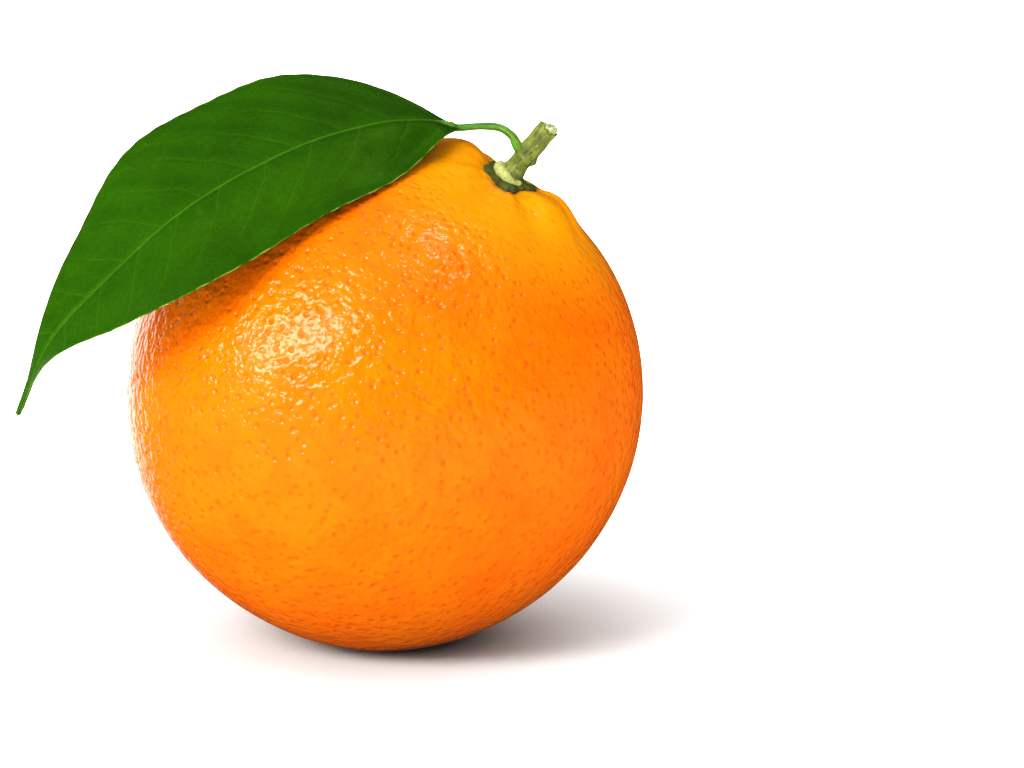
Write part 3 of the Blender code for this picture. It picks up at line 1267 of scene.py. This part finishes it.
        in_metres = tree.add("GeometryNodeTransform", {"Geometry": stood.outputs[0], "Scale": (MM, MM, MM)})
        fibres = linked("orange_stem_fibres", bpy.data.meshes.new("orange_stem_fibres"))
        return place_piece(tree.run(fibres, in_metres, wood), "twig")


@dataclass
class Petiole:
    """The thin stalk from the twig's node to the blade."""

    effects: SharedEffects
    finish: BarkFinish = BarkFinish(
        "orange_petiole_skin", colour(0.062, 0.195, 0.008), colour(0.13, 0.3, 0.02), colour(0.22, 0.36, 0.06),
        roughness=0.4, ridge_width=0.22, ridge_depth=0.03, fleck_size=0.14,
    )
    radius: float = 0.54
    route: tuple[Point, ...] = (
        (20.7, -4.65, 73.2), (19.6, -4.65, 74.5), (18.75, -4.5, 76.0), (17.0, -3.95, 77.1), (14.4, -3.7, 77.3)
    )
    flare: Stations = (
        (0.0, 1.3), (0.1, 1.4), (0.22, 1.12), (0.45, 1.0), (0.7, 0.95), (0.8, 1.0), (0.9, 0.7), (1.0, 0.3)
    )
    joint_place: float = 0.78
    joint_swelling: float = 0.12
    rings: int = 90
    segments: int = 40

    def build(self, midrib: Array) -> Object:
        """Makes the stalk, grown into the twig at one end and into the blade at the other.

        Args:
            midrib: The first points of the blade's midrib, in millimetres.

        Returns:
            The finished piece.
        """
        path = smooth_path([*self.route, *midrib], self.rings)
        share = np.linspace(0.0, 1.0, self.rings)
        around, along = np.meshgrid(full_turn(self.segments), share)
        joint = self.joint_swelling * bell(along, self.joint_place, 0.025)
        uneven = 1.0 + 0.04 * np.cos(3.0 * around + 4.0 * along) + 0.03 * np.sin(21.0 * along) + joint
        radius = self.radius * through(self.flare, share)[:, None] * uneven
        length = float(np.linalg.norm(np.diff(path, axis=0), axis=1).sum())
        marks = {BARK: bark_marks(along * length, radius, around)}
        stalk = loft("orange_petiole", tube(path, radius, around), marks, self.finish.material(self.effects))
        return place_piece(stalk, "petiole", "petiole")


# Leaf


@dataclass(frozen=True)
class VeinRule:
    """Where the veins of the blade run: a midrib, side veins that bow to the tip, and a fine net."""

    length: float = 84.0
    midrib: float = 0.42
    midrib_at_tip: float = 0.14
    spacing: float = 7.4
    lead: float = 0.5
    bow: float = 0.021
    offset: float = 0.37
    wander: float = 2.2
    width: float = 0.2
    net: float = 1.5

    def pitch(self, graph: Graph, along: Field, across: Field, wander: Any = 0.0) -> Field:
        """How many side veins lie between the leaf's base and a point.

        Args:
            graph: The graph to add it to.
            along: The distance along the midrib, in millimetres.
            across: The signed distance from the midrib, in millimetres.
            wander: How far the veins stray there.

        Returns:
            The count, which is whole half-way between two veins.
        """
        reach = abs(across)
        start = along - self.lead * reach - self.bow * reach * reach + wander
        return start / self.spacing + self.offset * graph.math("GREATER_THAN", across, 0.0)

    def masks(self, graph: Graph, along: Field, across: Field) -> tuple[Field, Field, Field]:
        """The veins as masks from 0 to 1.

        Args:
            graph: The graph to add them to.
            along: The distance along the midrib, in millimetres.
            across: The signed distance from the midrib, in millimetres.

        Returns:
            The midrib, the side veins and the net.
        """
        reach = abs(across)
        flat = graph.join(along, across, 0.0)
        half = self.midrib - (self.midrib - self.midrib_at_tip) * along / self.length
        midrib = graph.fade(reach / half, 0.35, 1.0)
        pitch = self.pitch(graph, along, across, self.wander * (graph.noise(flat, 0.16) - 0.5))
        from_vein = abs(graph.math("FRACT", pitch + 8.0) - 0.5) * self.spacing
        from_minor = abs(graph.math("FRACT", pitch + 8.5) - 0.5) * self.spacing
        major = graph.fade(from_vein, 0.3 * self.width, self.width) * graph.ease(reach, 9.0, 17.5, 1.0, 0.35)
        minor = 0.35 * graph.fade(from_minor, 0.03, 0.12) * graph.fade(reach, 10.0, 13.0)
        net = graph.fade(graph.cells(flat, self.net, "DISTANCE_TO_EDGE", 0.9), 0.02, 0.09)
        return midrib, graph.math("MAXIMUM", major, minor), net


@dataclass
class Leaf:
    """The blade: arched over the fruit, folded along its midrib, with a thin rolled margin."""

    effects: SharedEffects
    fruit: Fruit
    veins: VeinRule = VeinRule()
    soft_veins: VeinRule = VeinRule(midrib=0.95, midrib_at_tip=0.4, width=0.6)
    finish: BladeFinish = BladeFinish()
    base: Point = (10.8, -3.8, 77.2)
    lean_back: Point = (0.0, 0.978, -0.208)
    clearance: float = 0.5
    most_lean: float = 7.0
    lean_until: float = 40.0
    heading: float = math.radians(192.0)
    droop: float = math.radians(31.5)
    roll: float = math.radians(24.3)
    fold: float = math.radians(2.7)
    arch: Stations = ((0, 0), (3, 3.8), (10, 8.6), (22, 12.9), (39.5, 14.4), (56, 11.2), (67, 7.3), (76, 0))
    half_width: Stations = (
        (0, 0.7), (3, 5.5), (10, 13.4), (20, 17.8), (33.5, 18.9),
        (45.5, 17.4), (56, 11.2), (65, 4.8), (71, 1.4), (76, 0.3),
    )
    widest: float = 18.0
    thickness: float = 0.36
    stations: int = 260
    across_points: int = 92
    wave: float = 0.3
    wave_length: float = 23.0
    wave_offset: float = 2.1
    cup: float = 0.5
    crenation: float = 0.07
    crenation_length: float = 3.3
    groove_depth: float = 0.16
    rib_height: float = 0.42
    side_depth: float = 0.07
    puff: float = 0.16
    stalk_chord: tuple[float, ...] = (0.0, 0.7, 1.6, 3.0)
    stalk_drop: float = 0.15

    def axes(self) -> tuple[Array, Array, Array]:
        """The directions that the blade is laid out in.

        Returns:
            The direction from base to tip, the one across, and the upper side's.
        """
        along = direction(math.radians(90.0) + self.droop, self.heading)
        side = np.cross((0.0, 0.0, 1.0), along)
        side /= np.linalg.norm(side)
        up = np.cross(along, side)
        roll_cos, roll_sin = math.cos(self.roll), math.sin(self.roll)
        return along, roll_cos * side - roll_sin * up, roll_cos * up + roll_sin * side

    def base_point(self) -> Array:
        """Where the blade starts, in millimetres, kept inside the leaf's CAD box."""
        _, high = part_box("leaf")
        return np.array([min(self.base[0], high.x * TO_MM), self.base[1], self.base[2]])

    def sheet(self, chord: Array, share: Array) -> tuple[Array, Array, Array]:
        """Points of the blade's middle surface.

        Args:
            chord: Places along the chord from base to tip, in millimetres.
            share: Places across, from -1 at the far margin to 1 at the near one.

        Returns:
            The points, the distance along the midrib and the signed distance from it, in millimetres.
        """
        along, across, up = self.axes()
        arch = through(self.arch, chord)
        steps = np.hypot(np.diff(chord, axis=0), np.diff(arch, axis=0))
        run = np.concatenate([np.zeros((1, chord.shape[1])), np.cumsum(steps, axis=0)])
        teeth = np.sin(2.0 * np.pi * run / self.crenation_length) * np.abs(share) ** 3
        shy = 1.0 - 0.72 * bell(chord, 0.0, 2.6) * (share < 0.0)
        reach = share * through(self.half_width, chord) * (1.0 + self.crenation / self.widest * teeth) * shy
        side = np.where(share > 0.0, 0.0, self.wave_offset)
        wave = self.wave * np.abs(share) ** 2.5 * np.sin(2.0 * np.pi * run / self.wave_length + side)
        wave = wave * np.clip(run / 15.0, 0.0, 1.0)
        cup = self.cup * np.sin(np.pi * np.abs(share)) * np.abs(reach) / self.widest
        height = arch + np.abs(reach) * math.sin(self.fold) + wave - cup
        spread = reach * math.cos(self.fold)
        free = chord[..., None] * along + spread[..., None] * across + height[..., None] * up
        points = self.base_point() + free
        return points + self.settling(points, chord, share), run, reach

    def settling(self, points: Array, chord: Array, share: Array) -> Array:
        """How the near half of the blade leans back until it almost rests on the rind.

        Args:
            points: The points of the free blade, in millimetres.
            chord: Their places along the chord.
            share: Their places across.

        Returns:
            What to add to the points.
        """
        turn = np.array(self.fruit.place())
        back = np.array(self.lean_back)
        travel = np.zeros(points.shape[:2])
        for _ in range(8):
            local = (points + travel[..., None] * back - turn[:3, 3]) @ turn[:3, :3]
            distance = np.linalg.norm(local, axis=2)
            polar = np.arccos(local[..., 2] / distance)
            around = np.arctan2(local[..., 1], local[..., 0])
            gap = distance - self.fruit.form.radius_at(np, polar, around) - self.clearance
            travel = np.clip(travel + gap, 0.0, self.most_lean)
        near = np.clip(share, 0.0, 1.0)
        fade = (1.0 - bell(chord, 0.0, 5.0)) / (1.0 + np.exp((chord - self.lean_until) / 5.0))
        return (travel * near * near * (3.0 - 2.0 * near) * fade)[..., None] * back

    def midrib_points(self) -> Array:
        """Where the leaf stalk runs out into the blade.

        Returns:
            The first points of the midrib, just under the blade, in millimetres.
        """
        chord = np.array(self.stalk_chord)[:, None]
        points, _, _ = self.sheet(chord, np.zeros_like(chord))
        return points[:, 0] - self.stalk_drop * self.axes()[2]

    def build(self) -> Object:
        """Makes the blade as flat rings, then lets Geometry Nodes raise and sink its veins.

        Returns:
            The finished piece.
        """
        count = self.across_points
        bend = np.cos(np.linspace(0.0, np.pi, count))
        even = np.linspace(1.0, -1.0, count)
        shares = 0.5 * np.concatenate([bend, -bend[1:-1]]) + 0.5 * np.concatenate([even, -even[1:-1]])
        is_upper = np.arange(len(shares)) < count
        along = 0.5 - 0.5 * np.cos(np.linspace(0.0, np.pi, self.stations))
        chord_line = self.half_width[-1][0] * along**0.9
        share, chord = np.meshgrid(shares, chord_line)
        points, run, reach = self.sheet(chord, share)
        step = 0.002
        nearby, _, _ = self.sheet(chord, share + step)
        normal = np.cross(np.gradient(points, axis=0), (nearby - points) / step)
        normal /= np.maximum(np.linalg.norm(normal, axis=2, keepdims=True), 1e-9)
        normal *= np.sign(normal @ self.axes()[2])[..., None]
        side = np.where(is_upper, Side.UPPER.value, Side.LOWER.value)
        half = 0.5 * self.thickness * np.clip(1.0 - np.abs(share) ** 14, 0.0, 1.0) ** 0.5 * side
        rings = points + half[..., None] * normal
        marks = np.stack([run, reach, side * np.abs(share)], 2)
        blade = loft("orange_leaf", rings[:, ::-1], {BLADE: marks[:, ::-1], BLADE_UP: normal[:, ::-1]})
        return place_piece(self._raised(blade), "leaf", "leaf")

    def _raised(self, blade: Object) -> Object:
        """Sinks the veins above, raises them below, and puffs the blade between them.

        Args:
            blade: The smooth blade.

        Returns:
            The same blade, with its relief and its material.
        """
        tree = GeometryTree("blade_relief", {
            "Groove Depth": self.groove_depth, "Rib Height": self.rib_height, "Side Depth": self.side_depth,
            "Puff": self.puff,
        })
        place, normal = (
            tree.add("GeometryNodeInputNamedAttribute", {"Name": name}, data_type="FLOAT_VECTOR").outputs[0]
            for name in (BLADE, BLADE_UP)
        )
        along, across, share = tree.split(place)
        midrib, side, _ = self.soft_veins.masks(tree, along, across)
        is_lower = tree.math("LESS_THAN", share, 0.0)
        pitch = self.soft_veins.pitch(tree, along, across)
        puff = -tree.cos(2.0 * math.pi * pitch) * tree.ease(abs(across), 1.0, 6.0)
        upper = -tree.input("Groove Depth") * midrib - tree.input("Side Depth") * side
        lower = -tree.input("Rib Height") * midrib - tree.input("Side Depth") * side
        relief = upper + is_lower * (lower - upper) + 0.5 * tree.input("Puff") * puff
        offset = tree.scaled(normal, relief * tree.fade(abs(share), 0.86, 0.98) * MM)
        moved = tree.add("GeometryNodeSetPosition", {"Geometry": tree.input("Geometry"), "Offset": offset})
        return tree.run(blade, moved, self.finish.material(self.effects, self.veins))


# Studio


@dataclass(frozen=True)
class Panel:
    """A soft light panel that faces the fruit."""

    name: str
    towards: Point
    size: tuple[float, float]
    power: float
    turn: float = 0.0
    mirrored: bool = True
    lighting: bool = True
    distance: float = 1.8

    def place(self, target: Vector) -> None:
        """Hangs the panel in the scene.

        Args:
            target: What it faces.
        """
        data = bpy.data.lights.new(self.name, "AREA")
        data.shape = "RECTANGLE"
        data.size, data.size_y = self.size
        data.energy = self.power
        panel = linked(self.name, data)
        panel.visible_glossy = self.mirrored
        panel.visible_diffuse = self.lighting
        offset = Vector(self.towards).normalized()
        facing = offset.to_track_quat("Z", "Y").to_matrix().to_4x4() @ Matrix.Rotation(self.turn, 4, "Z")
        panel.matrix_world = Matrix.Translation(target + self.distance * offset) @ facing


@dataclass
class Studio:
    """A pale floor, soft lights, the surroundings and the camera."""

    elevation: float = math.radians(12.0)
    distance: float = 0.7
    lens: float = 166.8
    aim_right: float = 0.246
    aim_up: float = 0.012
    floor_size: float = 8.0
    floor_tones: tuple[Colour, Colour] = (colour(0.9, 0.9, 0.9), colour(0.92, 0.92, 0.92))
    glow: float = 1.4
    glow_start: float = 0.03
    glow_end: float = 0.14
    panels: tuple[Panel, ...] = (
        Panel("key_panel", (-0.62, -0.6, 0.5), (1.5, 0.5), 30.0, turn=math.radians(28.0)),
        Panel("fill_panel", (-0.8, -0.58, 0.1), (1.3, 0.9), 8.0, mirrored=False),
        Panel("glint_panel", (0.32, -0.09, 0.94), (0.3, 0.3), 3.4, lighting=False),
    )
    room: float = 0.045
    overhead: float = 1.8
    dim_room: float = 0.03
    wall: float = 1.9
    wall_sides: Stations = ((0.1, 0.2), (0.55, 0.8))
    wall_heights: Stations = ((-0.42, -0.22), (0.2, 0.45))

    def camera(self, target: Vector, width: float) -> None:
        """Looks along +Y and a little down, with the fruit left of the middle.

        Args:
            target: The fruit's middle, in metres.
            width: The fruit's width, in metres.
        """
        up = Vector((0.0, math.sin(self.elevation), math.cos(self.elevation)))
        look = Vector((0.0, math.cos(self.elevation), -math.sin(self.elevation)))
        data = bpy.data.cameras.new("camera")
        data.lens, data.sensor_width = self.lens, 36.0
        data.clip_start, data.clip_end = 0.01, 20.0
        camera = linked("camera", data)
        aim = target + Vector((self.aim_right * width, 0.0, 0.0)) + self.aim_up * width * up
        camera.location = aim - self.distance * look
        camera.rotation_euler = (math.pi / 2.0 - self.elevation, 0.0, 0.0)
        bpy.context.scene.camera = camera

    def floor(self) -> None:
        """A wide pale floor that glows by its own emission, more away from the fruit: painted light standing in
        for a backlit sweep, which lightens the floor's shadow and lights the fruit from below.
        """
        half = self.floor_size / 2.0
        mesh = bpy.data.meshes.new("floor")
        corners = [(-half, -half, 0), (half, -half, 0), (half, half, 0), (-half, half, 0)]
        mesh.from_pydata(corners, [], [(0, 1, 2, 3)])
        material, graph, shader = new_material("pale_floor")
        spot = graph.spot()
        reach = graph.vector_math("LENGTH", spot, key="Value")
        graph.feed(shader, {
            "Base Color": graph.blend(graph.ease(graph.noise(spot, 90.0, 3.0), 0.3, 0.7), *self.floor_tones),
            "Emission Strength": graph.ease(reach, self.glow_start, self.glow_end, 0.0, self.glow),
            "Emission Color": colour(1.0, 1.0, 1.0), "Roughness": 0.9, "Specular IOR Level": 0.1,
        })
        mesh.materials.append(material)
        floor = linked("floor", mesh)
        floor.visible_glossy = False

    def world(self) -> None:
        """White for the camera, a top light for what is lit, and for what is reflected a dim room with one pale
        wall to the left and behind."""
        world = bpy.data.worlds.new("studio")
        bpy.context.scene.world = world
        world.use_nodes = True
        world.cycles.sampling_method = "NONE"
        graph = Graph(world.node_tree)
        path = graph.add("ShaderNodeLightPath")
        seen, mirrored = graph.out(path, "Is Camera Ray"), graph.out(path, "Is Glossy Ray")
        x, y, z = graph.split(graph.out(graph.add("ShaderNodeTexCoord"), "Generated"))
        wall = 1.0
        azimuth = graph.math("ARCTAN2", -x, y)
        for value, (rise, fall) in ((azimuth, self.wall_sides), (z, self.wall_heights)):
            wall = wall * graph.ease(value, *rise) * graph.fade(value, *fall)
        lit = self.room + self.overhead * graph.math("MAXIMUM", z, 0.0) ** 2
        strength = lit + mirrored * (self.dim_room + self.wall * wall - lit)
        graph.feed(world.node_tree.nodes["Background"], {
            "Color": colour(1.0, 1.0, 1.0), "Strength": strength + seen * (1.0 - strength),
        })

    def build(self, fruit: Fruit) -> None:
        """Sets up the floor, the lights, the surroundings and the camera.

        Args:
            fruit: The fruit that they are set round.
        """
        low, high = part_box("fruit")
        middle = fruit.centre()
        self.floor()
        self.world()
        for panel in self.panels:
            panel.place(middle)
        self.camera(middle, high.x - low.x)
        bpy.context.scene.view_settings.view_transform = "Standard"
        bpy.context.scene.view_settings.look = "Medium High Contrast"
        log.info("studio: floor, %d panels, surroundings and camera", len(self.panels))


def main() -> None:
    """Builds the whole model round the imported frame."""
    logging.basicConfig(level=logging.INFO, format="%(name)s: %(message)s")
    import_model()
    effects = SharedEffects()
    fruit = Fruit(effects)
    fruit.build()
    calyx = Calyx(effects, fruit)
    calyx.build()
    Twig(effects, calyx).build()
    leaf = Leaf(effects, fruit)
    Petiole(effects).build(leaf.midrib_points())
    leaf.build()
    Studio().build(fruit)


if __name__ == "__main__":
    main()
